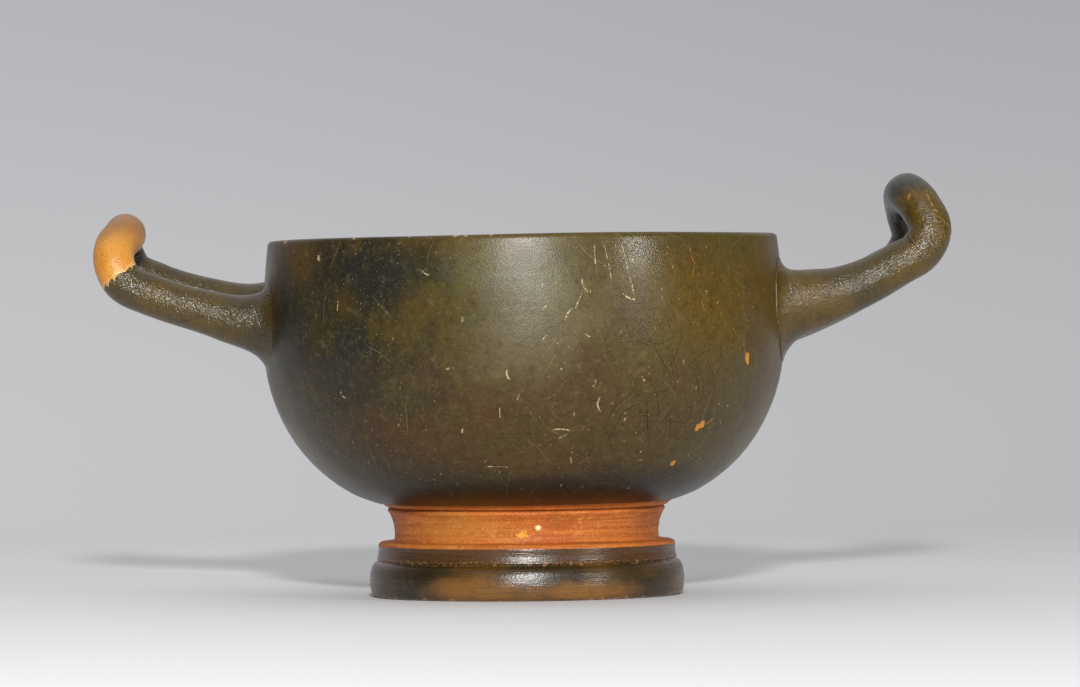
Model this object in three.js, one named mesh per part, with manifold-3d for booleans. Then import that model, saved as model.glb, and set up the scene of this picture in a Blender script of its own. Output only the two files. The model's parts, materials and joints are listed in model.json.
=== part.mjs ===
// A stemless kylix: a wheel-thrown, black-glazed drinking cup on a moulded ring foot, with two
// loop handles rolled from coils of clay. The handles reach out, then fold up and lean back
// towards the bowl. The cup was fired in one piece, so it is one solid.
//
// Millimetres, +Z up. The origin is on the table at the centre of the foot. The handles reach
// along +X and -X, and the front of the cup faces -Y.

import * as THREE from 'three';
import { mergeVertices } from 'three/addons/utils/BufferGeometryUtils.js';
import Module from 'manifold-3d';

// Outside of the bowl. A pull is a control point that bends a curve, as [radius, height].
const RIM_HEIGHT = 85.9;
const RIM_RADIUS = 61.2;
const LIP_ROUND = 1.3;
const SHOULDER_PULL = [62.6, 73.3];
const BELLY_RADIUS = 62.6;
const BELLY_HEIGHT = 62.3;
const BOWL_PULLS = [[51.9, 28], [62.6, 43.5]];
const BOWL_FOOT = [35.8, 22.4];   // where the bowl's curve ends, just above the collar
const BOWL_TILT = 0.3;            // degrees: the bowl sits a little askew on its foot

// Inside of the bowl
const WALL = 4.4;                 // at the belly; the floor is thicker
const FLOOR_HEIGHT = 18.5;        // at the centre
const HOLLOW_PULLS = [[30, 18.5], [58.2, 34.3]];
const MOUTH = [57.3, 84.1];       // where the lip begins to round over
const MOUTH_PULL = [57.4, 85.8];
const LIP_INSIDE = [58.8, 85.92]; // a hair above the rim, so that the cut comes out cleanly
const CUT_ABOVE = 5;              // how far the cut goes on above the rim

// Foot, from the centre of the hollow under it up to the bowl
const RECESS_HEIGHT = 9.5;        // ceiling of the hollow at the centre
const RECESS_TURN = [20, 8.8];    // where the ceiling turns down
const RECESS_PULL = [25, 8];
const REST_INNER_RADIUS = 26.4;   // the flat ring that the cup stands on
const REST_RADIUS = 36.2;
const TORUS_PULLS = [[37.7, 0.9], [38.2, 6.2]];
const TORUS_END = [36.3, 7.7];
const FILLET_FOOT = [35.6, 8.3];  // upright face above the torus
const LEDGE_HEIGHT = 13.3;
const LEDGE_ROUND = 1.2;
const LEDGE_END = [32.1, 13.3];
const NECK_PULLS = [[31.6, 13.5], [31.6, 17.6]];
const NECK_WAIST = [31.6, 15.6];
const NECK_END = [32.9, 19.6];
const COLLAR = [33.4, 20.2];

// Handles, each described along its own outward direction: s is the distance out from the axis
// of the cup, z is the height
const HANDLES = [
  {
    turn: 5,                      // degrees from +X, counterclockwise from above
    arm: [[56, 66], [62, 67.9], [68, 70], [75, 71.9], [82, 74.7], [89, 78.4], [94, 81.3]],
    fold: [97, 83.2],             // where the loop turns upright
    rise: 13,                     // of the loop above the fold
    lean: 4,                      // how far the top of the loop comes back in
    bulge: 0,                     // how far the sides of the loop swell outward
    lift: -1.8,                   // how much higher the back arm runs than the front one
    shorter: 0.8,                 // how much nearer the bowl the back arm folds
    coil: 5.1,                    // radius of the coil of clay
    flare: 5.6,                   // extra radius where the coil meets the bowl
    flareReach: 8,
  },
  {
    turn: 178.5,
    arm: [[56, 63.2], [62, 64.9], [68.7, 66.7], [75.3, 68.6], [83.3, 70.9], [89, 73], [94.8, 76.2]],
    fold: [97, 78.6],
    rise: 7.5,
    lean: 1.9,
    bulge: 1.5,
    lift: 2.8,
    shorter: 0,
    coil: 4.9,
    flare: 4.4,
    flareReach: 5.4,
  },
];
const LOOP_HALF_WIDTH = 12.4;     // between the two arms' centre lines, halved
const FOLD_REACH = 85;            // the arms are plain out to here, and the fold begins
const LOOP_ANGLES = [15, 45, 75, 105, 135, 165];
const SIDE_FLARE = 0.62;          // the roots spread less sideways than up and down
const FLARE_FADES = 6;            // the spreading has died away this far before the fold

// Facets
const TURN_STEPS = 64;
const COIL_SIDES = 14;
const COIL_STEPS = 40;

const wasm = await Module();
wasm.setup();

const radians = THREE.MathUtils.degToRad;

// A closed mesh becomes a manifold-3d solid once its vertices are shared between the faces
function toSolid(geometry) {
  geometry.deleteAttribute('normal');
  geometry.deleteAttribute('uv');
  const shared = mergeVertices(geometry, 1e-4);
  const corners = shared.index.array;
  const kept = [];
  for (let i = 0; i < corners.length; i += 3) {
    const [a, b, c] = corners.subarray(i, i + 3);
    if (a !== b && b !== c && c !== a) kept.push(a, b, c);
  }
  return new wasm.Manifold(new wasm.Mesh({
    numProp: 3,
    vertProperties: shared.attributes.position.array,
    triVerts: new Uint32Array(kept),
  }));
}

function toGeometry(solid) {
  const mesh = solid.getMesh();
  const geometry = new THREE.BufferGeometry();
  geometry.setAttribute('position', new THREE.BufferAttribute(mesh.vertProperties, 3));
  geometry.setIndex(new THREE.BufferAttribute(mesh.triVerts, 1));
  geometry.computeVertexNormals();
  return geometry;
}

// A run of curves becomes one list of outline points; each entry is [curve, steps]
function outline(pieces) {
  const points = [];
  for (const [curve, steps] of pieces) {
    for (const point of curve.getPoints(steps)) {
      const last = points[points.length - 1];
      if (!last || last.distanceTo(point) > 1e-3) points.push(point);
    }
  }
  return points;
}

// Curves between [radius, height] points
const at = ([radius, height]) => new THREE.Vector2(radius, height);
const line = (...points) => new THREE.LineCurve(...points.map(at));
const bend = (...points) => new THREE.QuadraticBezierCurve(...points.map(at));
const sweep = (...points) => new THREE.CubicBezierCurve(...points.map(at));

// Turns an outline of (radius, height) points about the cup's axis
function thrown(pieces) {
  return new THREE.LatheGeometry(outline(pieces), TURN_STEPS).rotateX(Math.PI / 2);
}

// Tips the part of a shape that is above the collar, about a line through the collar's centre
function tipBowl(geometry) {
  const angle = radians(BOWL_TILT);
  const position = geometry.attributes.position;
  const pivotHeight = BOWL_FOOT[1];
  for (let i = 0; i < position.count; i++) {
    const x = position.getX(i);
    const up = position.getZ(i) - pivotHeight;
    if (up <= 0) continue;
    position.setX(i, x * Math.cos(angle) - up * Math.sin(angle));
    position.setZ(i, pivotHeight + up * Math.cos(angle) + x * Math.sin(angle));
  }
  return geometry;
}

// From the centre of the hollow under the foot, round the resting ring and up to the collar
function footOutline() {
  const filletRadius = FILLET_FOOT[0];
  const filletTop = [filletRadius, LEDGE_HEIGHT - LEDGE_ROUND];
  const ledgeStart = [filletRadius - LEDGE_ROUND, LEDGE_HEIGHT];
  const ringInside = [REST_INNER_RADIUS, 0];
  const ringOutside = [REST_RADIUS, 0];
  return [
    [line([0, RECESS_HEIGHT], RECESS_TURN), 1],
    [bend(RECESS_TURN, RECESS_PULL, ringInside), 4],
    [line(ringInside, ringOutside), 1],
    [sweep(ringOutside, ...TORUS_PULLS, TORUS_END), 6],
    [line(TORUS_END, FILLET_FOOT), 1],
    [line(FILLET_FOOT, filletTop), 1],
    [bend(filletTop, [filletRadius, LEDGE_HEIGHT], ledgeStart), 2],
    [line(ledgeStart, LEDGE_END), 1],
    [bend(LEDGE_END, NECK_PULLS[0], NECK_WAIST), 2],
    [bend(NECK_WAIST, NECK_PULLS[1], NECK_END), 3],
    [line(NECK_END, COLLAR), 1],
    [line(COLLAR, BOWL_FOOT), 1],
  ];
}

// Up the outside of the bowl, over the lip and across to the axis
function bowlOutline() {
  const belly = [BELLY_RADIUS, BELLY_HEIGHT];
  const lipStart = [RIM_RADIUS, RIM_HEIGHT - LIP_ROUND];
  const lipTop = [RIM_RADIUS - LIP_ROUND, RIM_HEIGHT];
  return [
    [sweep(BOWL_FOOT, ...BOWL_PULLS, belly), 11],
    [bend(belly, SHOULDER_PULL, lipStart), 3],
    [bend(lipStart, [RIM_RADIUS, RIM_HEIGHT], lipTop), 3],
    [line(lipTop, [0, RIM_HEIGHT]), 1],
  ];
}

// The space inside the bowl, from the middle of its floor to above the rim
function hollowOutline() {
  const widest = [BELLY_RADIUS - WALL, BELLY_HEIGHT];
  const above = RIM_HEIGHT + CUT_ABOVE;
  return [
    [sweep([0, FLOOR_HEIGHT], ...HOLLOW_PULLS, widest), 12],
    [line(widest, MOUTH), 1],
    [bend(MOUTH, MOUTH_PULL, LIP_INSIDE), 3],
    [line(LIP_INSIDE, [LIP_INSIDE[0], above]), 1],
    [line([LIP_INSIDE[0], above], [0, above]), 1],
  ];
}

// Which side of a handle faces the front of the cup: -1 or 1 along the handle's own y
const frontSide = (turn) => (Math.cos(radians(turn)) > 0 ? -1 : 1);

// The centre line of a handle: out along the front arm, over the upright loop, and back in
function handleLine({ turn, arm, fold, rise, lean, bulge, lift, shorter }) {
  const frontY = frontSide(turn) * LOOP_HALF_WIDTH;
  const points = [];
  for (const [s, z] of arm) points.push(new THREE.Vector3(s, frontY, z));
  for (const angle of LOOP_ANGLES) {
    const up = Math.sin(radians(angle));
    const across = Math.cos(radians(angle));
    const towardsBack = (1 - across) / 2;
    const swell = 2 * bulge * up * Math.abs(across);
    const s = fold[0] - lean * up * up - shorter * towardsBack + swell;
    points.push(new THREE.Vector3(s, frontY * across, fold[1] + rise * up + lift * towardsBack));
  }
  for (const [s, z] of [...arm].reverse()) {
    const reach = s > FOLD_REACH ? s - shorter : s;
    points.push(new THREE.Vector3(reach, -frontY, z + lift));
  }
  return new THREE.CatmullRomCurve3(points);
}

// Height of an arm's centre line at a distance out from the axis
function armHeight(arm, s) {
  let i = 1;
  while (i < arm.length - 1 && arm[i][0] < s) i++;
  const [s0, z0] = arm[i - 1];
  const [s1, z1] = arm[i];
  return z0 + (z1 - z0) * (s - s0) / (s1 - s0);
}

// Spreads the ends of the coil where they are pressed onto the bowl
function spreadRoots(geometry, handle) {
  const position = geometry.attributes.position;
  const wall = Math.sqrt(BELLY_RADIUS ** 2 - LOOP_HALF_WIDTH ** 2);
  const front = frontSide(handle.turn);
  for (let i = 0; i < position.count; i++) {
    const s = position.getX(i);
    if (s > FOLD_REACH) continue;
    const out = Math.max(s - wall, 0);
    const fade = THREE.MathUtils.smoothstep(FOLD_REACH - s, 0, FLARE_FADES);
    const extra = fade * handle.flare * Math.exp(-out / handle.flareReach) / handle.coil;
    const isFront = position.getY(i) * front > 0;
    const middleY = (isFront ? front : -front) * LOOP_HALF_WIDTH;
    const middleZ = armHeight(handle.arm, s) + (isFront ? 0 : handle.lift);
    position.setY(i, middleY + (position.getY(i) - middleY) * (1 + SIDE_FLARE * extra));
    position.setZ(i, middleZ + (position.getZ(i) - middleZ) * (1 + extra));
  }
  return geometry;
}

function handleGeometry(handle) {
  const section = new THREE.Shape().absarc(0, 0, handle.coil, 0, 2 * Math.PI);
  const coil = new THREE.ExtrudeGeometry(section, {
    steps: COIL_STEPS,
    curveSegments: COIL_SIDES / 2,     // an arc takes two steps for each segment
    extrudePath: handleLine(handle),
  });
  return spreadRoots(coil, handle).rotateZ(radians(handle.turn));
}

// The handles are joined to the full body first, and the hollow is cut last, so that no root
// comes through the wall
function cupGeometry() {
  let cup = toSolid(tipBowl(thrown([...footOutline(), ...bowlOutline()])));
  for (const handle of HANDLES) cup = cup.add(toSolid(handleGeometry(handle)));
  return toGeometry(cup.subtract(toSolid(tipBowl(thrown(hollowOutline())))));
}

const glazedClay = new THREE.MeshStandardMaterial({
  color: 0x6a5a39,
  roughness: 0.38,
  metalness: 0,
});

const cup = new THREE.Mesh(cupGeometry(), glazedClay);
cup.name = 'cup';

const kylix = new THREE.Group();
kylix.add(cup);

export default kylix;
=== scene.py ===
# %% [markdown]
# # A black-glazed Greek drinking cup
#
# The cup is a stemless kylix: a deep round bowl thrown on the wheel, a moulded foot, and two
# handles rolled from coils of clay. The potter joined them while the clay was damp, brushed the
# cup with a fine clay slip and fired it once. The slip should have turned black. Here it
# misfired to an olive brown, and a band above the foot was left bare.
#
# This file makes the cup's visible surface round a plain solid that is already at its real
# size. Blender works in metres, and the plain solid is the frame that everything fits.

# %% Load the frame
import json
import math

import bpy
import numpy as np
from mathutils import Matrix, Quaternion, Vector, noise

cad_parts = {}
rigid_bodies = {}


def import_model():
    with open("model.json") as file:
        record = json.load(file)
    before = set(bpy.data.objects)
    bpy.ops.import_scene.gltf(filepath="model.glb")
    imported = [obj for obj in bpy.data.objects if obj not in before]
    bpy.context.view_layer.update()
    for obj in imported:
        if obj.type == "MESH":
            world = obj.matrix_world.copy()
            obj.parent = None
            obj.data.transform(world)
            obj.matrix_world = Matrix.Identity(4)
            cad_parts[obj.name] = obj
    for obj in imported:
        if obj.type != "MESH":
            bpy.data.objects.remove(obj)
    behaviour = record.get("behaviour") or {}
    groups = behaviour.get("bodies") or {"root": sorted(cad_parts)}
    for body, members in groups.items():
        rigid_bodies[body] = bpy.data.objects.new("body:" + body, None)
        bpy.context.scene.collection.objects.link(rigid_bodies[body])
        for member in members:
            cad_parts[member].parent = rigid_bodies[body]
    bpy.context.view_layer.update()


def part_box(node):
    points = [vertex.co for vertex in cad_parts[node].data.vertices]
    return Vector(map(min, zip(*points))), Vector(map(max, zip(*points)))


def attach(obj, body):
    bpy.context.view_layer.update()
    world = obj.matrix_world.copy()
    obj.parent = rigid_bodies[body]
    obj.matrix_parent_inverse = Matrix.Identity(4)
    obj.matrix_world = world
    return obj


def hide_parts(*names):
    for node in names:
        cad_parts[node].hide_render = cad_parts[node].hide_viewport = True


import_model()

low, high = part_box("cup")
print("the plain cup measures", [round(1000 * (b - a), 1) for a, b in zip(low, high)], "mm")

# %% [markdown]
# ## The potter's plan
#
# The cup's sizes are easiest to read in millimetres on a plan, as a potter would note them. One
# plan millimetre is worked out from the frame: the bowl's belly is the widest thing across the
# cup, and its radius on the plan is 62.6. If the frame were scaled, the surface would follow.

# %% One plan millimetre in metres
BELLY_RADIUS = 62.6
BELLY_HEIGHT = 62.3
MM = (high.y - low.y) / 2 / BELLY_RADIUS
print("one plan millimetre is", round(MM, 6), "m")

# %% [markdown]
# ## The outline
#
# A thrown cup is a surface of revolution, so one outline of radius and height describes all of
# it. The outline starts on the axis at the bottom of the bowl, climbs the inside, goes over the
# lip, comes down the outside and ends on the axis under the foot. Bezier curves give the long
# soft stretches, and short runs of points give the sharp lines that a tool cut into the foot.

# %% Outline helpers
def bezier(points, steps):
    """Evenly stepped points on the curve that these control points pull."""
    t = np.linspace(0, 1, steps + 1)[:, None]
    degree = len(points) - 1
    curve = 0
    for k, point in enumerate(points):
        weight = math.comb(degree, k) * (1 - t) ** (degree - k) * t ** k
        curve = curve + weight * np.array(point, float)
    return curve


def joined(*stretches):
    """Stretches end to end, without the points that two of them share."""
    points = [stretches[0]]
    for stretch in stretches[1:]:
        points.append(np.array(stretch, float)[1:])
    return np.concatenate(points)


# %% The outline, stretch by stretch
RIM_HEIGHT = 85.9
COLLAR_TOP = (35.8, 22.4)

inside = joined(
    bezier([(0, 18.5), (30, 18.5), (58.2, 34.3), (58.2, BELLY_HEIGHT)], 34),
    bezier([(58.2, BELLY_HEIGHT), (58.1, 74), (57.3, 84.1)], 9),
)
lip = joined(
    bezier([(57.3, 84.1), (57.4, 85.8), (58.8, RIM_HEIGHT)], 5),
    bezier([(58.8, RIM_HEIGHT), (59.9, RIM_HEIGHT)], 2),
    bezier([(59.9, RIM_HEIGHT), (61.15, RIM_HEIGHT), (61.2, 84.6)], 6),
)
bowl = joined(
    bezier([(61.2, 84.6), (BELLY_RADIUS, 73), (BELLY_RADIUS, BELLY_HEIGHT)], 20),
    bezier([(BELLY_RADIUS, BELLY_HEIGHT), (BELLY_RADIUS, 43.5), (51.9, 28), COLLAR_TOP], 54),
)
collar = np.array([
    COLLAR_TOP, (35.2, 22.3), (34.6, 22.1), (34.25, 21.9), (34.1, 21.65), (33.8, 21.4),
    (33.2, 21.25), (32.95, 21.05), (33.15, 20.8), (33.35, 20.5), (33.25, 20.15), (32.9, 19.7),
])
neck = joined(
    bezier([(32.9, 19.7), (31.8, 18.4), (31.45, 15.3), (31.75, 13.9)], 14),
    bezier([(31.75, 13.9), (31.85, 13.4), (32.4, 13.3)], 3),
    bezier([(32.4, 13.3), (34.4, 13.25)], 4),
    bezier([(34.4, 13.25), (35.5, 13.2), (35.6, 12.2)], 5),
)
foot = joined(
    bezier([(35.6, 12.2), (35.5, 10.8), (35.75, 9.3)], 8),
    [(35.75, 9.3), (35.95, 8.95), (35.95, 8.7), (35.7, 8.5), (35.85, 8.25), (36.3, 8.05), (36.7, 7.8)],
    bezier([(36.7, 7.8), (38.15, 6.4), (37.95, 1.2), (36.9, 0.35)], 17),
    bezier([(36.9, 0.35), (36.7, 0.08), (36.2, 0)], 3),
)
underside = joined(
    bezier([(36.2, 0), (26.4, 0)], 6),
    bezier([(26.4, 0), (25.2, 7.6), (20, 8.8)], 8),
    bezier([(20, 8.8), (12, 9.1)], 4),
    [(12, 9.1), (11.6, 9.5), (11, 9.4)],
    bezier([(11, 9.4), (0, 9.5)], 5),
)
STRETCHES = [
    ("inside", inside), ("lip", lip), ("bowl", bowl), ("collar", collar),
    ("neck", neck), ("foot", foot), ("underside", underside),
]
outline = joined(*[points for _, points in STRETCHES])
print("the outline has", len(outline), "points")


def wall_radius(height):
    """The outside radius of the bowl at a height."""
    return np.interp(height, bowl[::-1, 1], bowl[::-1, 0])


# %% [markdown]
# ## What the hand left
#
# No thrown cup is perfect, and the small errors are what make it look made. This bowl sits about
# a third of a degree askew on its foot. Its rim is a little wavy and not quite round, the grooves
# of the foot were cut by eye and climb a little towards the back, and the surface keeps faint
# swells from the fingers. Each is a small smooth shift of the points, worked out from the angle
# round the cup and the height.

# %% Shifts that follow the angle and the height
BOWL_TILT = math.radians(0.3)
BY_EYE = 0.3
COLLAR_SPAN = (18.2, 20, 22, 25)
GROOVE_SPAN = (6.5, 8.4, 9.3, 12)


def fade(value, start, end):
    """Runs smoothly from 0 at start to 1 at end, on arrays too."""
    t = np.clip((np.asarray(value, float) - start) / (end - start), 0, 1)
    return t * t * (3 - 2 * t)


def hump(height, span):
    """Rises from 0 to 1 over the first two heights of a span, and falls over the last two."""
    return fade(height, span[0], span[1]) * (1 - fade(height, span[2], span[3]))


def settle(points):
    """Tips what is above the collar, since the bowl isn't quite level on its foot."""
    x, y, z = points[..., 0], points[..., 1], points[..., 2]
    up = np.maximum(z - COLLAR_TOP[1], 0)
    tipped_x = x - up * math.sin(BOWL_TILT)
    tipped_z = z + (up > 0) * x * math.sin(BOWL_TILT)
    return np.stack([tipped_x, y, tipped_z], axis=-1)


def swell(points, size):
    """Smooth noise from -1 to 1 with lumps of about this size."""
    flat = points.reshape(-1, 3) / size
    values = [noise.noise(Vector(p)) for p in flat]
    return np.array(values).reshape(points.shape[:-1])


# %% [markdown]
# ## Nicks and chips
#
# Two thousand years have knocked small chips off the rim, the foot and the belly. Each chip is
# a shallow dent in the mesh, and its strength is also kept in an attribute named worn, so that
# the finish can show pale clay exactly where the surface is broken. A few chips have a place of
# their own. The rest are scattered with a seeded generator, so every run gives the same cup.

# %% Where the chips are: degrees round from the front, height, reach and depth
CHIPS = [
    (57.6, 56.5, 1.2, 0.25), (57.9, 55.6, 0.9, 0.2), (46.4, 40.9, 1.1, 0.22), (45.2, 40.2, 0.9, 0.2),
    (43.0, 31.9, 0.8, 0.18), (-50.9, 81.5, 0.9, 0.2), (-67.4, 85.8, 1.1, 0.35),
    (-40.2, 86.0, 0.8, 0.2), (-14.4, 86.0, 0.8, 0.2), (-12.2, 86.1, 0.8, 0.2),
    (-6.7, 86.1, 0.7, 0.15),
]
RIM_EDGE_HEIGHT, FOOT_EDGE_HEIGHT, GROOVE_HEIGHT = 86.0, 0.1, 8.6
dice = np.random.default_rng(21)


def scatter(count, height, spread, reach, depth):
    """Chips at random angles on one edge of the cup."""
    for _ in range(count):
        angle = dice.uniform(-180, 180)
        level = height + dice.uniform(-spread, spread)
        CHIPS.append((angle, level, dice.uniform(0.5, 1) * reach, dice.uniform(0.4, 1) * depth))


scatter(9, RIM_EDGE_HEIGHT, 0.1, 0.6, 0.12)
scatter(50, FOOT_EDGE_HEIGHT, 0.15, 0.8, 0.2)
scatter(26, GROOVE_HEIGHT, 0.15, 0.6, 0.12)
print("chips:", len(CHIPS))

# %% [markdown]
# ## Turning the outline
#
# Turning the outline round the axis gives a grid of points, one row for each outline point and
# one column for each angle. The front half gets twice as many columns as the back, because the
# finer marks are there. Blender's Screw modifier could turn the outline too, but the grid lets
# each point be shifted by its own angle and height before any face is made.

# %% The grid of thrown clay
FRONT_COLUMNS, BACK_COLUMNS = 220, 110

angles = np.concatenate([
    np.linspace(-90, 90, FRONT_COLUMNS, endpoint=False),
    np.linspace(90, 270, BACK_COLUMNS, endpoint=False),
])
theta = np.radians(angles)[None, :]


def around_axis(radius, height):
    """Points at these radii and heights, one column for each angle."""
    return np.stack([radius * np.sin(theta), -radius * np.cos(theta), height], axis=-1)


def shaped_by_hand(radius, height, on_outside):
    """The radii and heights with all the small errors of the hand."""
    round_error = 0.14 * np.sin(2 * theta + 0.6) + 0.07 * np.sin(3 * theta + 2)
    radius = radius + round_error * height / RIM_HEIGHT * fade(radius, 0, 30)
    rim_wave = 0.10 * np.sin(2 * theta + 1) + 0.06 * np.sin(5 * theta)
    height = height + rim_wave * fade(height, 76, 85)
    cut_by_eye = BY_EYE * (1 - np.cos(theta)) * (hump(height, COLLAR_SPAN) + hump(height, GROOVE_SPAN))
    height = height + cut_by_eye * on_outside

    points = around_axis(radius, height)
    fingers = 0.10 * swell(points, 16) + 0.03 * swell(points, 4)
    ridges = 0.02 * np.sin(2 * math.pi * height / 2.6 + 3 * swell(points, 25))
    return radius + (fingers + ridges) * fade(radius, 2, 20) * fade(height, 0, 1.5), height


# %% The chips bite into the grid
WALL_FROM, WALL_TO = 15, 80
RIM_EDGE_RADIUS, FOOT_EDGE_RADIUS = 60, 35


def bite(chip, radius, height, on_outside):
    """How far a chip bites at each point. It stays on the outside, or on the outer edge."""
    around, level, reach, _ = chip
    apart = (angles[None, :] - around + 180) % 360 - 180
    distance = np.hypot(np.radians(apart) * radius, height - level) / reach
    bitten = 1 - fade(distance, 0.2, 1.3)
    if WALL_FROM < level < WALL_TO:
        return bitten * on_outside
    edge = RIM_EDGE_RADIUS if level > WALL_TO else FOOT_EDGE_RADIUS
    return bitten * fade(radius, edge - 0.8, edge + 0.2)


def thrown_grid():
    """Points of the whole outline at every angle, how worn each is, and which are outside."""
    radius = np.repeat(outline[:, :1], len(angles), axis=1)
    height = np.repeat(outline[:, 1:], len(angles), axis=1)
    on_outside = np.zeros_like(radius)
    on_outside[len(inside) + len(lip):] = 1
    radius, height = shaped_by_hand(radius, height, on_outside)
    worn = np.zeros_like(radius)
    for chip in CHIPS:
        bitten = bite(chip, radius, height, on_outside)
        worn = np.maximum(worn, bitten)
        radius = radius - chip[-1] * bitten
    return settle(around_axis(radius, height)), worn, on_outside


grid, grid_worn, grid_outer = thrown_grid()
print("thrown clay:", grid.shape[0], "rows of", grid.shape[1], "points")

# %% [markdown]
# The first and last rows lie on the axis, where every column meets in one point. Those rows are
# kept as single points with a fan of triangles, so that no face has an edge of no length.

# %% From grid to mesh
def grid_mesh(name, rows, worn, outer, closed_ends, material_of_row):
    """A tube of quads from rows of points. Each end closes on a single point.

    The mesh also keeps how worn each point is, and whether it is on the outside.
    """
    count = rows.shape[1]
    points = [rows[i] for i in range(len(rows))]
    vertices = np.concatenate([closed_ends[0][None], *points, closed_ends[1][None]])
    faces, materials = [], []
    for i in range(len(rows) - 1):
        start = 1 + i * count
        for j in range(count):
            k = (j + 1) % count
            faces.append((start + j, start + k, start + count + k, start + count + j))
            materials.append(material_of_row[i])
    last = len(vertices) - 1
    for j in range(count):
        k = (j + 1) % count
        faces.append((0, 1 + k, 1 + j))
        materials.append(material_of_row[0])
        faces.append((last, last - count + j, last - count + k))
        materials.append(material_of_row[-1])
    mesh = bpy.data.meshes.new(name)
    mesh.from_pydata((vertices * MM).tolist(), [], faces)
    mesh.polygons.foreach_set("material_index", materials)
    for label, values in (("worn", worn), ("outer", outer)):
        attribute = mesh.attributes.new(label, "FLOAT", "POINT")
        attribute.data.foreach_set("value", np.concatenate([[0], values.ravel(), [0]]))
    mesh.validate()
    made = bpy.data.objects.new(name, mesh)
    bpy.context.collection.objects.link(made)
    return made


# %% The thrown body
GLAZE, CLAY, FOOT_GLAZE, BASE_CLAY, HANDLE = range(5)
MATERIAL_OF_STRETCH = {
    "inside": GLAZE, "lip": GLAZE, "bowl": GLAZE, "collar": CLAY, "neck": CLAY,
    "foot": FOOT_GLAZE, "underside": BASE_CLAY,
}
row_materials = []
for stretch_name, points in STRETCHES:
    row_materials += [MATERIAL_OF_STRETCH[stretch_name]] * (len(points) - 1)
row_materials = row_materials[1:-1]

kylix = grid_mesh(
    "kylix", grid[1:-1], grid_worn[1:-1], grid_outer[1:-1],
    (grid[0].mean(axis=0), grid[-1].mean(axis=0)), row_materials,
)
print("thrown body:", len(kylix.data.polygons), "faces")

# %% [markdown]
# ## The handles
#
# Each handle is one coil of clay. It leaves the wall, runs out, folds sharply upright, crosses
# over in a loop that leans back towards the bowl, and comes home beside itself. A curve object
# with a round bevel would make a plain coil. Here the rings are placed one by one, because the
# coil spreads where it is pressed on to the wall, and must pinch on the inside of the tight fold.
#
# Each handle is planned along its own outward direction: s is the distance out from the axis of
# the cup, and z is the height. The plan gives the arm on the front side of the cup, and how the
# back arm differs from it.

# %% The plan of each handle
LOOP_HALF_WIDTH = 12.4
HANDLES = {
    "right": dict(
        turn=5,
        arm=[(56, 66), (62, 67.9), (68, 70), (75, 71.9), (82, 74.7), (89, 78.4), (94, 81.3)],
        fold=(97, 83.2), rise=13, lean=4, bulge=0, lift=-1.8, shorter=0.8,
        coil=5.1, flare=5.6, flare_reach=8,
    ),
    "left": dict(
        turn=178.5,
        arm=[(56, 63.2), (62, 64.9), (68.7, 66.7), (75.3, 68.6), (83.3, 70.9), (89, 73), (94.9, 75.9)],
        fold=(96.7, 78.4), rise=7.7, lean=1.6, bulge=1.5, lift=2.8, shorter=0,
        coil=4.9, flare=4.4, flare_reach=5.4,
    ),
}


def handle_points(plan):
    """The points that the coil's centre line passes through, front arm first."""
    front = -1 if math.cos(math.radians(plan["turn"])) > 0 else 1
    front_y = front * LOOP_HALF_WIDTH
    arm = [(s, front_y, z) for s, z in plan["arm"]]
    loop = []
    for degrees in range(15, 166, 30):
        up = math.sin(math.radians(degrees))
        across = math.cos(math.radians(degrees))
        back = (1 - across) / 2
        bulge = 2 * plan["bulge"] * up * abs(across)
        s = plan["fold"][0] - plan["lean"] * up * up - plan["shorter"] * back + bulge
        loop.append((s, front_y * across, plan["fold"][1] + plan["rise"] * up + plan["lift"] * back))
    home = []
    for s, z in reversed(plan["arm"]):
        home.append((s - plan["shorter"] * float(fade(s, 80, 90)), -front_y, z + plan["lift"]))
    return np.array(arm + loop + home, float)


# %% [markdown]
# A Catmull-Rom spline passes through every point and stays smooth between them. The version
# here spaces its knots by the square root of the distance, which keeps it from looping back on
# itself at the fold. It is sampled finely, and later read at any distance along.

# %% A smooth line through points
def spline(points, fineness=24):
    """Points on a centripetal Catmull-Rom curve, without the first and last spans."""
    knots = np.zeros(len(points))
    for i in range(1, len(points)):
        knots[i] = knots[i - 1] + math.sqrt(np.linalg.norm(points[i] - points[i - 1]))
    line = []
    for i in range(1, len(points) - 2):
        p0, p1, p2, p3 = points[i - 1:i + 3]
        t0, t1, t2, t3 = knots[i - 1:i + 3]
        for t in np.linspace(t1, t2, fineness, endpoint=False):
            a1 = p0 + (p1 - p0) * (t - t0) / (t1 - t0)
            a2 = p1 + (p2 - p1) * (t - t1) / (t2 - t1)
            a3 = p2 + (p3 - p2) * (t - t2) / (t3 - t2)
            b1 = a1 + (a2 - a1) * (t - t0) / (t2 - t0)
            b2 = a2 + (a3 - a2) * (t - t1) / (t3 - t1)
            line.append(b1 + (b2 - b1) * (t - t1) / (t2 - t1))
    return np.array(line)


def unit(vectors):
    return vectors / np.linalg.norm(vectors, axis=-1, keepdims=True)


def carried_frames(line):
    """The direction of the line at each sample, with an upright that turns as little as possible."""
    along = unit(np.gradient(line, axis=0))
    upright = np.empty_like(along)
    upright[0] = unit(np.array([0, 0, 1.0]) - along[0] * along[0][2])
    for i in range(1, len(line)):
        kept = upright[i - 1] - along[i] * np.dot(upright[i - 1], along[i])
        upright[i] = unit(kept)
    return along, upright


# %% [markdown]
# Where a handle meets the wall, the potter smeared the coil outward and smoothed the joint. So
# the rings near the wall are wrapped round it: they keep an even distance from the clay, grow
# quickly in the last few millimetres, and the last ring is just under the surface.

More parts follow.
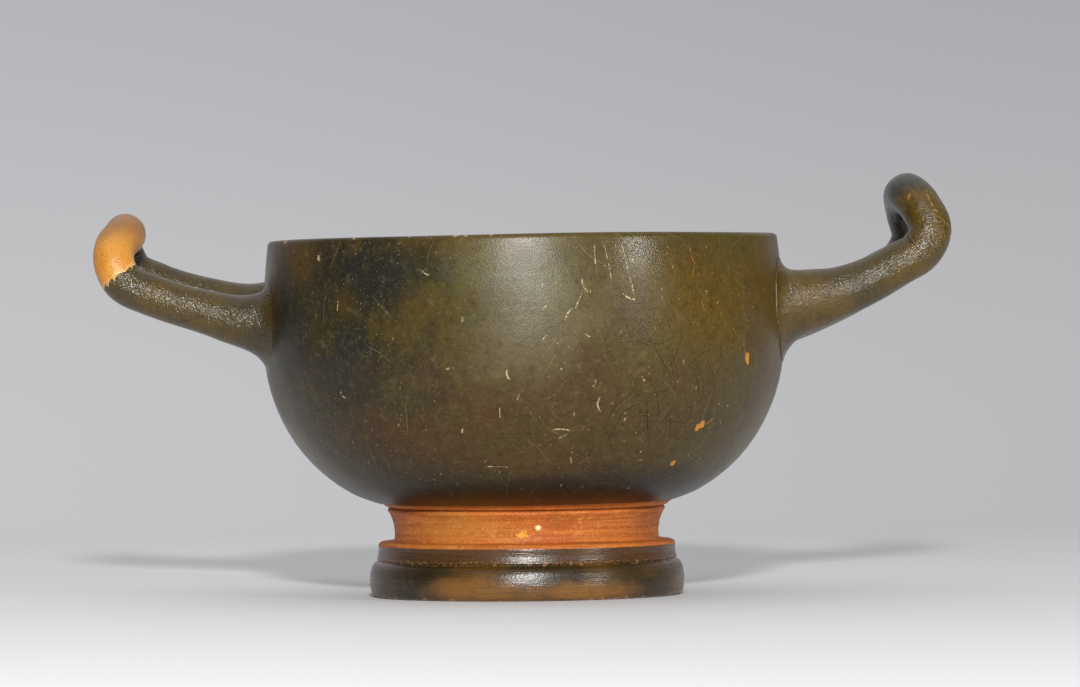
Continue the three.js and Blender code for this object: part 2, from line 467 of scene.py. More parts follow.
# %% The rings of a handle
COIL_SIDES = 36
JOINT_ROUND = 2.4
ROOT_STEPS = [0, 0.05, 0.15, 0.3, 0.55, 0.85, 1.2, 1.7, 2.3, 3.0, 3.8, 4.7, 5.7]
RING_SPACING = 0.95
WIDTH_SHARE = 0.65
PINCH_SHARE = 0.95
HUGS_WITHIN, FREE_BEYOND = 3, 10


def spread(plan, distance):
    """Extra radius of the coil at this distance from the wall."""
    pulled = plan["flare"] * np.exp(-distance / plan["flare_reach"])
    near = np.clip(JOINT_ROUND - distance, 0, JOINT_ROUND)
    smoothed = JOINT_ROUND - np.sqrt(JOINT_ROUND ** 2 - near ** 2)
    return float(pulled + smoothed)


def pinched(ring, curl):
    """Holds a ring back on the inside of a bend, where it would run into its neighbours."""
    sharpness = np.linalg.norm(curl)
    if sharpness < 1e-6:
        return ring
    inward = curl / sharpness
    too_deep = np.maximum(ring @ inward - PINCH_SHARE / sharpness, 0)
    return ring - np.outer(too_deep, inward)


def wrapped(centre, ring, distance):
    """A ring round its centre. Close to the wall it bends round the wall."""
    free = centre + ring
    share = 1 - float(fade(distance, HUGS_WITHIN, FREE_BEYOND))
    if share == 0:
        return free
    height = centre[2] + ring[:, 2]
    radius = wall_radius(height) + distance
    middle = math.atan2(centre[1], centre[0])
    across = ring[:, 0] * -math.sin(middle) + ring[:, 1] * math.cos(middle)
    angle = math.asin(centre[1] / (BELLY_RADIUS + distance)) + across / BELLY_RADIUS
    hugging = np.stack([radius * np.cos(angle), radius * np.sin(angle), height], axis=-1)
    return free + (hugging - free) * share


def handle_rings(plan):
    """Rows of ring points from the front root to the back one, and the length between them."""
    line = spline(handle_points(plan))
    wall = math.sqrt(BELLY_RADIUS ** 2 - LOOP_HALF_WIDTH ** 2)
    outside = np.nonzero(line[:, 0] >= wall)[0]
    line = line[outside[0]:outside[-1] + 1]
    steps = np.linalg.norm(np.diff(line, axis=0), axis=1)
    travelled = np.concatenate([[0], np.cumsum(steps)])
    length = travelled[-1]
    along, upright = carried_frames(line)
    bending = np.gradient(along, axis=0) / np.gradient(travelled)[:, None]

    clear_of_roots = ROOT_STEPS[-1] + RING_SPACING
    middle = np.arange(clear_of_roots, length - ROOT_STEPS[-1] - RING_SPACING / 2, RING_SPACING)
    places = np.concatenate([ROOT_STEPS, middle, length - np.array(ROOT_STEPS[::-1])])

    def read(values):
        return np.array([np.interp(places, travelled, values[:, k]) for k in range(3)]).T

    directions, ups = unit(read(along)), unit(read(upright))
    sides = np.cross(directions, ups)
    turns = np.linspace(0, 2 * math.pi, COIL_SIDES, endpoint=False)
    rings = []
    for centre, side, up, curl, place in zip(read(line), sides, ups, read(bending), places):
        distance = min(place, length - place)
        extra = spread(plan, distance)
        wide = plan["coil"] + WIDTH_SHARE * extra
        tall = plan["coil"] + extra
        ring = np.outer(np.cos(turns) * wide, side) + np.outer(np.sin(turns) * tall, up)
        rings.append(wrapped(centre, pinched(ring, curl), distance))
    return np.array(rings), length


# %% Both handles
SINK = 0.7
LUMP_HEIGHT, LUMP_SIZE, LUMP_SEED = 0.12, 7, 40


def turned(points, degrees):
    """Turns points about the axis of the cup."""
    c, s = math.cos(math.radians(degrees)), math.sin(math.radians(degrees))
    x, y, z = points[..., 0], points[..., 1], points[..., 2]
    return np.stack([x * c - y * s, x * s + y * c, z], axis=-1)


def make_handle(side, plan):
    """The coil as a mesh, a little lumpy, with its two ends sunk into the wall."""
    rings, length = handle_rings(plan)
    outward = unit(rings - rings.mean(1, keepdims=True))
    rings = rings + LUMP_HEIGHT * swell(rings + LUMP_SEED, LUMP_SIZE)[..., None] * outward
    inner = 1 - SINK / BELLY_RADIUS
    first, last = rings[0] * (inner, inner, 1), rings[-1] * (inner, inner, 1)
    rings = turned(np.concatenate([[first], rings, [last]]), plan["turn"])
    ends = (rings[0].mean(0), rings[-1].mean(0))
    unworn, outside = np.zeros(rings.shape[:2]), np.ones(rings.shape[:2])
    made = grid_mesh(f"{side}_handle", rings, unworn, outside, ends, [HANDLE] * len(rings))
    print(side, "handle:", round(length, 1), "mm of coil between its roots")
    return made


handles = [make_handle(side, plan) for side, plan in HANDLES.items()]

# %% [markdown]
# ## One piece of clay
#
# The fired cup is one solid, so the handles are united with the body by Boolean modifiers. That
# removes the ends of the coils from inside the wall.

# %% Unite the handles with the body
def unite(body, other):
    modifier = body.modifiers.new("join", "BOOLEAN")
    modifier.operation = "UNION"
    modifier.solver = "EXACT"
    modifier.object = other
    bpy.context.view_layer.objects.active = body
    bpy.ops.object.modifier_apply(modifier=modifier.name)
    bpy.data.objects.remove(other)


for name in ("glaze", "bare_clay", "foot_glaze", "base_clay", "handle_glaze"):
    material = bpy.data.materials.new(name)
    for piece in [kylix, *handles]:
        piece.data.materials.append(material)
for handle in handles:
    unite(kylix, handle)
kylix.data.shade_smooth()
kylix.data.set_sharp_from_angle(angle=math.radians(60))
kylix.data.calc_loop_triangles()
print("the whole cup:", len(kylix.data.loop_triangles), "triangles")

# %% Place it in the frame
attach(kylix, "root")
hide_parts("cup")

# %% [markdown]
# ## Building finishes from nodes
#
# The finishes are procedural: each colour, roughness and bump is worked out from where a point
# lies on the cup. The small class below keeps that code short. Each call adds one node, and a
# value given to it can be a number or the output of another node.

# %% A helper for node trees
class Graph:
    """Adds nodes to one node tree, and keeps the colour that a finish has so far."""

    def __init__(self, tree):
        self.tree = tree

    def feed(self, value, socket):
        """Links an output to a socket, or writes a plain value into it."""
        if isinstance(value, bpy.types.NodeSocket):
            self.tree.links.new(value, socket)
        else:
            socket.default_value = value

    def node(self, kind, inputs, **settings):
        made = self.tree.nodes.new(kind)
        for name, setting in settings.items():
            setattr(made, name, setting)
        for key, value in inputs.items():
            self.feed(value, made.inputs[key])
        return made

    def add(self, kind, inputs, output=0, **settings):
        """One output of a new node."""
        return self.node(kind, inputs, **settings).outputs[output]

    def group(self, name, output, inputs):
        """One output of a node group that was made earlier."""
        return self.add("ShaderNodeGroup", inputs, output, node_tree=bpy.data.node_groups[name])

    def maths(self, operation, *values):
        return self.add("ShaderNodeMath", dict(enumerate(values)), operation=operation)

    def times(self, product, *others):
        for other in others:
            product = self.maths("MULTIPLY", product, other)
        return product

    def plus(self, first, second):
        return self.maths("ADD", first, second)

    def minus(self, first, second):
        return self.maths("SUBTRACT", first, second)

    def most(self, masks):
        """The strongest of several masks."""
        strongest = masks[0]
        for mask in masks[1:]:
            strongest = self.maths("MAXIMUM", strongest, mask)
        return strongest

    def ramp(self, value, start, end, low=0.0, high=1.0):
        """Goes smoothly from low to high as the value goes from start to end."""
        sockets = {"Value": value, "From Min": start, "From Max": end, "To Min": low, "To Max": high}
        return self.add("ShaderNodeMapRange", sockets, interpolation_type="SMOOTHSTEP")

    def noise(self, place, size, detail=2.0, roughness=0.5):
        """Soft noise round one half, with lumps of about this many millimetres."""
        sockets = {"Vector": place, "Scale": 1 / size, "Detail": detail, "Roughness": roughness}
        return self.add("ShaderNodeTexNoise", sockets)

    def split(self, vector):
        return self.node("ShaderNodeSeparateXYZ", {0: vector}).outputs

    def vector(self, operation, first, second, output=0):
        return self.add("ShaderNodeVectorMath", {0: first, 1: second}, output, operation=operation)

    def mix(self, share, first, second):
        return self.add("ShaderNodeMix", {0: share, 6: first, 7: second}, output=2, data_type="RGBA")

    def paint(self, mask, tone, strength=1.0):
        """Lays a tone over the colour so far, where the mask is."""
        share = mask if strength == 1.0 else self.times(mask, strength)
        self.colour = self.mix(share, self.colour, tone)

    def dapple(self, value, start, end, tone, strength):
        """Lays a tone over the colour so far, where a noise runs from start to end."""
        self.colour = self.mix(self.ramp(value, start, end, 0.0, strength), self.colour, tone)


VECTORS = ("Place", "Sheet")


def new_group(name, inputs, outputs):
    """A node group with these sockets. Returns its graph, its input and its output node."""
    tree = bpy.data.node_groups.new(name, "ShaderNodeTree")
    for direction, labels in (("INPUT", inputs), ("OUTPUT", outputs)):
        for label in labels:
            kind = "NodeSocketVector" if label in VECTORS else "NodeSocketFloat"
            tree.interface.new_socket(label, in_out=direction, socket_type=kind)
    entry = tree.nodes.new("NodeGroupInput")
    leave = tree.nodes.new("NodeGroupOutput")
    return Graph(tree), entry.outputs, leave.inputs


def srgb(red, green, blue):
    """A colour picked on a 0 to 255 scale, as the linear values that Blender mixes."""
    channels = []
    for value in (red, green, blue):
        v = value / 255
        channels.append(v / 12.92 if v <= 0.04045 else ((v + 0.055) / 1.055) ** 2.4)
    return (*channels, 1)


# %% [markdown]
# ### Where a point lies on the cup
#
# Marks on a round cup are easiest to place by their angle round it and their height. This group
# turns a point in millimetres into the degrees round from the front, the distance from the axis
# and the height. It also gives the surface unrolled as a flat sheet, for marks at random places.

# %% Group: the place on the cup
TO_DEGREES = 180 / math.pi
TO_RADIANS = math.pi / 180

graph, given, result = new_group("cup_place", ["Place"], ["Around", "Radius", "Height", "Sheet"])
x, y, z = graph.split(given["Place"])
turn = graph.maths("ARCTAN2", x, graph.times(y, -1.0))
places = {
    "Around": graph.times(turn, TO_DEGREES),
    "Radius": graph.maths("SQRT", graph.plus(graph.times(x, x), graph.times(y, y))),
    "Height": z,
    "Sheet": graph.add("ShaderNodeCombineXYZ", {0: graph.times(turn, BELLY_RADIUS), 1: z, 2: 0.0}),
}
for label, value in places.items():
    graph.feed(value, result[label])

# %% [markdown]
# ### Clouds, scratches and flecks
#
# Three more groups draw the marks. A cloud is a soft patch of another tone, left where the slip
# was thicker or where another pot shaded the fire. The pale clouds on the front of the belly are a
# painted sheen. A scratch is a short curved line at a known place. Dashes are many small marks at
# random places, from round flecks to long hairlines.

# %% Group: a soft cloud
graph, given, result = new_group(
    "cloud", ["Around", "Height", "Ragged", "At Angle", "At Height", "Wide", "Tall"], ["Mask"])
across = graph.maths("DIVIDE", graph.minus(given["Around"], given["At Angle"]), given["Wide"])
upward = graph.maths("DIVIDE", graph.minus(given["Height"], given["At Height"]), given["Tall"])
from_middle = graph.maths("SQRT", graph.plus(graph.times(across, across), graph.times(upward, upward)))
graph.feed(graph.ramp(graph.plus(from_middle, given["Ragged"]), 0.25, 1.3, 1.0, 0.0), result["Mask"])

# %% Group: one scratch
SCRATCH = ("At Angle", "At Height", "Half Length", "Lean", "Curl", "Half Width")

graph, given, result = new_group("scratch", ["Around", "Radius", "Height", *SCRATCH], ["Mask"])
sideways = graph.times(graph.minus(given["Around"], given["At Angle"]), TO_RADIANS, given["Radius"])
upward = graph.minus(given["Height"], given["At Height"])
lean = graph.times(given["Lean"], TO_RADIANS)
cosine = graph.maths("COSINE", lean)
sine = graph.maths("SINE", lean)
along = graph.plus(graph.times(upward, cosine), graph.times(sideways, sine))
beside = graph.minus(graph.times(sideways, cosine), graph.times(upward, sine))
beside = graph.minus(beside, graph.times(along, along, given["Curl"]))
past_end = graph.maths("MAXIMUM", graph.minus(graph.maths("ABSOLUTE", along), given["Half Length"]), 0.0)
distance = graph.plus(graph.maths("ABSOLUTE", beside), past_end)
distance = graph.maths("DIVIDE", distance, given["Half Width"])
graph.feed(graph.ramp(distance, 0.5, 1.5, 1.0, 0.0), result["Mask"])

# %% Group: many dashes
CELL_SHARE = 0.25
WANDER_SCALE, WANDER_REACH = 0.07, 9

graph, given, result = new_group(
    "dashes", ["Sheet", "Lean", "Half Length", "Half Width", "Share"], ["Mask"])
wander = graph.add(
    "ShaderNodeTexNoise", {"Vector": given["Sheet"], "Scale": WANDER_SCALE, "Detail": 1.0}, output=1)
bent = graph.add("ShaderNodeVectorMath", {0: wander, 1: (WANDER_REACH, WANDER_REACH, 0), 2: given["Sheet"]},
                 operation="MULTIPLY_ADD")
lean = graph.times(given["Lean"], TO_RADIANS)
leaned = graph.add("ShaderNodeVectorRotate", {"Vector": bent, "Angle": lean}, rotation_type="Z_AXIS")
stretch = graph.add("ShaderNodeCombineXYZ", {
    0: graph.maths("DIVIDE", CELL_SHARE, given["Half Width"]),
    1: graph.maths("DIVIDE", CELL_SHARE, given["Half Length"]), 2: 1.0})
cells = graph.vector("MULTIPLY", leaned, stretch)
voronoi = graph.node("ShaderNodeTexVoronoi", {}, voronoi_dimensions="2D")
graph.feed(1, voronoi.inputs["Scale"])
graph.feed(cells, voronoi.inputs["Vector"])
chosen = graph.add("ShaderNodeSeparateColor", {0: voronoi.outputs["Color"]})
kept = graph.maths("LESS_THAN", chosen, given["Share"])
size = graph.ramp(chosen, 0.0, given["Share"], CELL_SHARE, CELL_SHARE * 0.3)
depth = graph.minus(1.0, graph.maths("DIVIDE", voronoi.outputs["Distance"], size))
graph.feed(graph.times(graph.ramp(depth, 0.0, 0.45), kept), result["Mask"])
print("groups:", [group.name for group in bpy.data.node_groups])


# %% [markdown]
# ## The start of every finish
#
# Each finish starts the same way: an empty material with a Principled shader, the point on the
# cup in plan millimetres, and the chips that are stored in the mesh. The edges of the chips are
# broken up with noise, since clay flakes off in ragged bits.

# %% Begin and end a finish
def stored(graph, label):
    """A value that the mesh keeps at each point."""
    return graph.add("ShaderNodeAttribute", {}, output="Fac", attribute_name=label)


def begin(name, specular):
    material = bpy.data.materials[name]
    material.use_nodes = True
    graph = Graph(material.node_tree)
    graph.shader = material.node_tree.nodes["Principled BSDF"]
    graph.shader.inputs["Specular IOR Level"].default_value = specular
    metres = graph.add("ShaderNodeTexCoord", {}, output="Object")
    graph.place = graph.vector("MULTIPLY", metres, (1 / MM, 1 / MM, 1 / MM))
    for label in ("Around", "Radius", "Height", "Sheet"):
        setattr(graph, label.lower(), graph.group("cup_place", label, {"Place": graph.place}))
    crumbs = graph.noise(graph.place, 0.7, detail=3.0)
    graph.worn = graph.ramp(graph.plus(stored(graph, "worn"), graph.times(crumbs, 0.5)), 0.55, 0.75)
    return graph


def finish(graph, roughness, relief):
    """Connects the colour so far, the roughness and the relief, which is in plan millimetres."""
    graph.feed(graph.colour, graph.shader.inputs["Base Color"])
    graph.feed(roughness, graph.shader.inputs["Roughness"])
    bump = graph.add("ShaderNodeBump", {"Strength": 1.0, "Distance": MM, "Height": relief})
    graph.feed(bump, graph.shader.inputs["Normal"])


# %% Marks in a finish
def cloud(graph, ragged, angle, height, wide, tall):
    return graph.group("cloud", "Mask", {
        "Around": graph.around, "Height": graph.height, "Ragged": ragged,
        "At Angle": angle, "At Height": height, "Wide": wide, "Tall": tall})


def dashes(graph, lean, half_length, half_width, share):
    return graph.group("dashes", "Mask", {
        "Sheet": graph.sheet, "Lean": lean, "Half Length": half_length,
        "Half Width": half_width, "Share": share})


def scratches(graph, table, around, radius):
    """All the scratches of a table, whose rows follow the names in SCRATCH."""
    place = {"Around": around, "Radius": radius, "Height": graph.height}
    rows = [{**place, **dict(zip(SCRATCH, row))} for row in table]
    return graph.most([graph.group("scratch", "Mask", row) for row in rows])


def ragged_edge(graph, size, detail, roughness, margin, reach):
    """Noise that pushes the edge of a cloud in and out."""
    lumps = graph.noise(graph.place, size, detail=detail, roughness=roughness)
    return graph.ramp(lumps, margin, 1 - margin, -reach, reach)


# %% [markdown]
# ## The glaze
#
# The glaze isn't a glass but a very fine slip that sintered in the fire. Its tone changes with
# its thickness and with the air in the kiln: blue black where the slip is thick, olive where it
# is thin, and red brown where air reached it late. Over that lie the faint streaks of the brush,
# pale flecks, hairlines and the scratches of use.

# %% The tones of the glaze
OLIVE = srgb(76, 66, 27)
GOLDEN = srgb(90, 68, 18)
BROWN = srgb(72, 55, 26)
RED_BROWN = srgb(86, 50, 20)
BLUE_BLACK = srgb(30, 34, 32)
# A pale tone for hazy glaze and hairlines, and for the painted sheen on the front of the belly
HAZE_AND_SHEEN = srgb(112, 105, 72)
NIGHT = srgb(22, 17, 10)
CREAM = srgb(206, 188, 140)
ORANGE = srgb(190, 128, 50)
GOLDEN_GRAIN = srgb(118, 98, 46)
RIM_CLAY = srgb(158, 138, 104)

# Clouds: tone and strength, then degrees round, height, half width in degrees and half height
CLOUDS = [
    (NIGHT, 0.55, [(-55, 62, 36, 34), (-40, 36, 40, 14), (-31, 40, 12, 4), (40, 26, 60, 6)]),
    (NIGHT, 0.4, [(-38, 43, 30, 17), (-2, 26, 40, 6)]),
    (BLUE_BLACK, 0.8, [(-34, 77, 24, 11), (-41, 61, 7, 6), (-46, 55, 6, 5), (-64, 66, 9, 20)]),
    (GOLDEN, 0.8, [(44, 68, 22, 16), (72, 72, 22, 22), (-84, 68, 12, 14)]),
    (GOLDEN, 0.35, [(-59, 81, 8, 7), (-22, 70, 6, 5), (-42, 71, 4, 4), (-5, 84, 24, 4)]),
    (BROWN, 0.7, [(-20, 38, 26, 9), (33, 48, 20, 14), (24, 66, 8, 9)]),
    (RED_BROWN, 0.32, [(0, 33, 24, 5), (-32, 38, 22, 7), (-11, 45, 6, 7)]),
    # These pale clouds on the front of the belly are a painted sheen
    (HAZE_AND_SHEEN, 0.3, [(-10, 78, 8, 8), (10, 72, 10, 9), (1, 60, 13, 10), (13, 66, 6, 6)]),
]

# Scratches: degrees round, height, half length, lean, curl and half width
PALE_SCRATCHES = [
    (15.6, 81.0, 4.5, -1, 0.00, 0.12), (18.4, 79.8, 4.8, -10, 0.00, 0.09),
    (22.6, 79.6, 5.4, -12, 0.00, 0.07), (12.9, 73.7, 1.5, -25, 0.15, 0.17),
    (11.7, 70.3, 1.7, 25, 0.00, 0.13), (9.3, 67.4, 1.5, 32, 0.10, 0.18),
    (24.0, 72.6, 1.3, -12, 0.10, 0.13), (22.9, 70.9, 1.5, -65, 0.10, 0.21),
    (4.4, 68.8, 0.5, 45, 0.00, 0.20), (4.2, 61.8, 0.9, 42, 0.00, 0.14),
    (13.7, 62.2, 0.7, -60, 0.00, 0.10), (-3.7, 53.4, 1.1, -15, 0.25, 0.20),
    (15.5, 51.3, 0.9, 20, -0.35, 0.13), (16.4, 46.4, 1.7, -4, 0.22, 0.17),
    (8.4, 40.7, 1.9, 92, 0.08, 0.15), (8.9, 39.0, 1.0, 62, 0.00, 0.11),
    (-21.4, 77.0, 1.1, -60, 0.20, 0.14), (-7.3, 32.0, 2.3, 92, 0.00, 0.09),
    (11.8, 33.2, 0.8, -20, 0.00, 0.14), (-44.5, 48.8, 0.9, -40, 0.30, 0.18),
    (-44.0, 69.8, 1.2, 4, 0.00, 0.14), (-16.0, 55.0, 0.9, 82, 0.00, 0.14),
    (30.3, 35.0, 0.7, 12, 0.00, 0.13), (-5.6, 44.6, 1.2, 2, 0.00, 0.09),
    (-1.5, 48.0, 0.9, 20, 0.00, 0.10), (-13.1, 66.3, 0.4, 10, 0.00, 0.27),
    (-14.6, 40.6, 0.4, 30, 0.00, 0.24),
]
ORANGE_SCRATCHES = [
    (39.2, 82.4, 3.3, -14, 0.00, 0.12), (39.8, 77.3, 1.9, 14, 0.08, 0.10),
    (55.8, 59.2, 1.9, -14, 0.05, 0.11), (42.0, 68.6, 1.3, -25, 0.35, 0.09),
    (48.2, 41.6, 1.5, 58, 0.00, 0.12), (31.0, 33.0, 0.5, 80, 0.00, 0.14),
    (75.4, 68.0, 9.0, 3, 0.01, 0.12),
]


# %% The finish of the bowl
def lay_slip(graph):
    """The misfired slip with its clouds, brush streaks and fine speckle."""
    ragged = ragged_edge(graph, 8, 5.0, 0.75, 0.2, 0.55)
    graph.colour = graph.mix(graph.ramp(graph.noise(graph.place, 34), 0.35, 0.65), OLIVE, BROWN)
    for tone, strength, patches in CLOUDS:
        graph.paint(graph.most([cloud(graph, ragged, *patch) for patch in patches]), tone, strength)
    brushed = graph.vector("MULTIPLY", graph.sheet, (1, 0.07, 1))
    graph.paint(graph.ramp(graph.noise(brushed, 1.6, detail=3.0), 0.5, 0.8), NIGHT, 0.15)
    mottle = graph.noise(graph.place, 2.4, detail=4.0, roughness=0.7)
    graph.dapple(mottle, 0.5, 0.78, NIGHT, 0.5)
    graph.dapple(mottle, 0.46, 0.25, HAZE_AND_SHEEN, 0.32)
    speckle = graph.noise(graph.place, 0.8, detail=3.0, roughness=0.7)
    graph.dapple(speckle, 0.54, 0.72, NIGHT, 0.45)
    graph.dapple(speckle, 0.44, 0.28, GOLDEN_GRAIN, 0.35)
    graph.paint(graph.ramp(graph.height, 33, 23.5), NIGHT, 0.75)


def mark_bowl(graph):
    """Hairlines, a web of dark cracks, flecks and scratches."""
    zone = graph.noise(graph.place, 22, detail=1.0)
    hairlines = graph.most([dashes(graph, lean, 7, 0.09, 0.04) for lean in (-55, 25)])
    graph.paint(graph.times(hairlines, graph.ramp(zone, 0.35, 0.7)), HAZE_AND_SHEEN)
    web = graph.most([dashes(graph, lean, 9, 0.14, 0.32) for lean in (40, -25, 80)])
    graph.paint(graph.times(web, cloud(graph, 0.0, 30, 50, 26, 22)), NIGHT, 0.85)
    flecks = graph.times(dashes(graph, 20, 0.4, 0.17, 0.016), graph.ramp(zone, 0.3, 0.6))
    graph.paint(flecks, CREAM, 0.6)
    tiny = graph.times(dashes(graph, -40, 0.2, 0.12, 0.05), graph.ramp(zone, 0.3, 0.7, 0.1, 0.5))
    graph.paint(tiny, CREAM)
    skips = graph.ramp(graph.noise(graph.place, 0.6), 0.38, 0.62)
    on_outside = graph.times(skips, stored(graph, "outer"))
    for table, tone in ((PALE_SCRATCHES, CREAM), (ORANGE_SCRATCHES, ORANGE)):
        lines = scratches(graph, table, graph.around, graph.radius)
        graph.paint(graph.times(lines, on_outside), tone, 0.75)
    graph.paint(graph.worn, graph.mix(graph.ramp(graph.height, 76, 80), ORANGE, RIM_CLAY))


def make_bowl_glaze():
    graph = begin("glaze", specular=0.3)
    lay_slip(graph)
    mark_bowl(graph)
    roughness = graph.ramp(graph.noise(graph.place, 14), 0.3, 0.7, 0.29, 0.37)
    polished = cloud(graph, 0.0, 26, 81, 9, 7)
    roughness = graph.minus(roughness, graph.times(polished, 0.12))
    roughness = graph.maths("MAXIMUM", roughness, graph.times(graph.worn, 0.8))
    finish(graph, roughness, graph.times(graph.noise(graph.place, 0.38, roughness=0.6), 0.05))
    print("glaze:", len(graph.tree.nodes), "nodes")


make_bowl_glaze()

# %% [markdown]
# ## The glaze of the handles
#
# The handles were dipped or brushed more thickly, so they stay golden olive. Shade is painted
# on them too: blue black on the far side and crown of the right loop, dark on the far side of
# the left loop and by the wall at the left handle's root, and a dark line in the crease of the
# right loop. The loop of the left handle has lost its glaze. What is left there is the bare ochre
# clay, painted darker towards its top as shade, with a chipped edge where the glaze begins again.
# The edge is a slanting plane, broken up with noise, that sits a little higher on the far arm.

# %% Tones and marks of the handles
HANDLE_GOLD, HANDLE_OLIVE = srgb(84, 64, 8), srgb(66, 52, 14)
OCHRE, DEEP_OCHRE, DARK_OCHRE = srgb(216, 152, 56), srgb(202, 132, 44), srgb(150, 96, 44)
SHADED_OCHRE, BROKEN_CLAY = srgb(124, 84, 46), srgb(236, 196, 130)
TIP_EDGE, TIP_UP, FAR_ARM_RISE = (-100.4, 0, 74.4), (-0.587, 0, 0.81), 5.0
BARE_STEP = -0.12

# Marks on the right loop: x, z, half length, lean, curl and half width
# The crease is a dark line of painted shade where the loop folds over the arm
LOOP_CREASE_SHADES = [(93.0, 83.0, 2.2, -42, 0.05, 0.3)]
LOOP_CHIPS = [
    (97.5, 93.1, 2.8, -25, 0.03, 0.12), (100.5, 88.6, 1.6, -48, 0.0, 0.12),
    (101.9, 85.6, 1.8, -5, 0.0, 0.1), (92.4, 94.6, 0.8, 20, 0.1, 0.15), (93.6, 82.0, 1.3, -42, 0.05, 0.1),
]


# %% The finish of the handles
def lay_handle_slip(graph, edge_noise):
    tone = graph.ramp(graph.noise(graph.place, 15), 0.35, 0.65)
    graph.colour = graph.mix(tone, HANDLE_GOLD, HANDLE_OLIVE)
    gritty = graph.noise(graph.place, 0.9, detail=3.0, roughness=0.7)
    graph.dapple(gritty, 0.52, 0.7, NIGHT, 0.5)
    graph.dapple(gritty, 0.42, 0.28, GOLDEN_GRAIN, 0.4)
    graph.dapple(graph.noise(graph.place, 3, detail=3.0, roughness=0.6), 0.5, 0.75, NIGHT, 0.45)
    graph.dapple(graph.noise(graph.place, 0.6), 0.68, 0.76, ORANGE, 0.4)

    x, y, _ = graph.split(graph.place)
    # Painted shade where the left handle's root meets the wall
    left_root_shade = graph.times(graph.ramp(x, -74, -62), graph.ramp(x, 0, -10))
    graph.paint(left_root_shade, NIGHT, 0.45)
    # Painted shade: the far side and the crown of the right loop are painted blue black
    crown = graph.maths("MAXIMUM", graph.times(graph.minus(graph.height, 90.0), 0.8), 0.0)
    loop_back_shade = graph.plus(graph.plus(y, crown), graph.ramp(edge_noise, 0.25, 0.75, -3, 3))
    graph.paint(graph.times(graph.ramp(loop_back_shade, 0, 6), graph.ramp(x, 80, 90)), BLUE_BLACK, 0.85)
    # Painted shade: the far side of the left loop is painted dark
    graph.paint(graph.times(graph.ramp(y, 1, 5), graph.ramp(x, -89, -93)), NIGHT, 0.7)

    # A scratch measures across as an angle times a radius, so here the angle is x at radius 1
    across = graph.times(x, TO_DEGREES)
    in_front = graph.ramp(y, 2, -2)
    broken = graph.ramp(graph.noise(graph.place, 0.7), 0.4, 0.6)
    # A dark line of painted shade along the crease of the right loop, and orange chips
    for table, tone, gaps in ((LOOP_CREASE_SHADES, NIGHT, 1.0), (LOOP_CHIPS, ORANGE, broken)):
        rows = [(math.degrees(mark[0]), *mark[1:]) for mark in table]
        graph.paint(graph.times(scratches(graph, rows, across, 1.0), in_front, gaps), tone, 0.8)


def lay_bare_tip(graph, edge_noise):
    """Bare clay over the glaze of the left loop. Returns where it is."""
    glaze = graph.colour
    x, y, _ = graph.split(graph.place)
    above = graph.vector("DOT_PRODUCT", graph.vector("SUBTRACT", graph.place, TIP_EDGE), TIP_UP, output=1)
    above = graph.plus(above, graph.ramp(edge_noise, 0.25, 0.75, -1.3, 1.3))
    above = graph.minus(above, graph.times(graph.ramp(y, -1, 5), FAR_ARM_RISE))
    on_left = graph.ramp(x, -84, -86)
    deeper = graph.ramp(graph.noise(graph.place, 8, detail=3.0), 0.3, 0.7)
    graph.colour = graph.mix(deeper, OCHRE, DEEP_OCHRE)
    # Painted shade: the bare clay is darker towards the top of the loop
    graph.dapple(graph.height, 84, 90, SHADED_OCHRE, 0.7)
    graph.dapple(graph.noise(graph.place, 0.6), 0.58, 0.68, DARK_OCHRE, 0.6)
    edge = graph.times(graph.ramp(above, -0.9, -0.3), graph.ramp(above, 1.0, 0.4), on_left)
    graph.paint(edge, BROKEN_CLAY, 0.6)
    bare = graph.times(graph.ramp(above, -0.15, 0.15), on_left)
    graph.colour = graph.mix(bare, glaze, graph.colour)
    return bare


def make_handle_glaze():
    graph = begin("handle_glaze", specular=0.6)
    edge_noise = graph.noise(graph.place, 1.6, detail=4.0, roughness=0.75)
    lay_handle_slip(graph, edge_noise)
    bare = lay_bare_tip(graph, edge_noise)
    graph.paint(graph.worn, ORANGE)
    fine = graph.times(graph.noise(graph.place, 0.6, roughness=0.65), 0.3)
    lumps = graph.times(graph.noise(graph.place, 2.2), 0.25)
    grain = graph.times(graph.plus(fine, lumps), graph.ramp(bare, 0, 1, 1.0, 0.6))
    finish(graph, graph.ramp(bare, 0, 1, 0.2, 0.38), graph.plus(grain, graph.times(bare, BARE_STEP)))
    print("handle glaze:", len(graph.tree.nodes), "nodes")


make_handle_glaze()

# %% [markdown]
# ## The bare band above the foot
#
# The potter left the band between the bowl and the foot without slip, as Athenian potters often
# did, and may have rubbed it with red ochre. It keeps the fine rings of the turning tool.

# %% The finish of the bare band
BAND_LIGHT, BAND_DARK, BAND_RED = srgb(196, 114, 48), srgb(160, 86, 34), srgb(178, 80, 30)
BAND_YELLOW, BAND_BROWN = srgb(190, 128, 52), srgb(132, 70, 26)
SAND_DARK, SAND_LIGHT = srgb(120, 62, 24), srgb(226, 158, 88)
PALE_CLAY, LINE_CLAY, GROOVE_TONE = srgb(222, 158, 88), srgb(232, 178, 112), srgb(92, 40, 14)
CREAM_SPOT, YELLOW_SPOT = srgb(250, 226, 170), srgb(236, 168, 60)


def wheel_rings(graph, size):
    """Thin rings round the cup: noise that is squeezed in height and long round the wheel."""
    drawn_out = graph.vector("MULTIPLY", graph.place, (0.04, 0.04, 1))
    return graph.noise(drawn_out, size, detail=3.0, roughness=0.6)


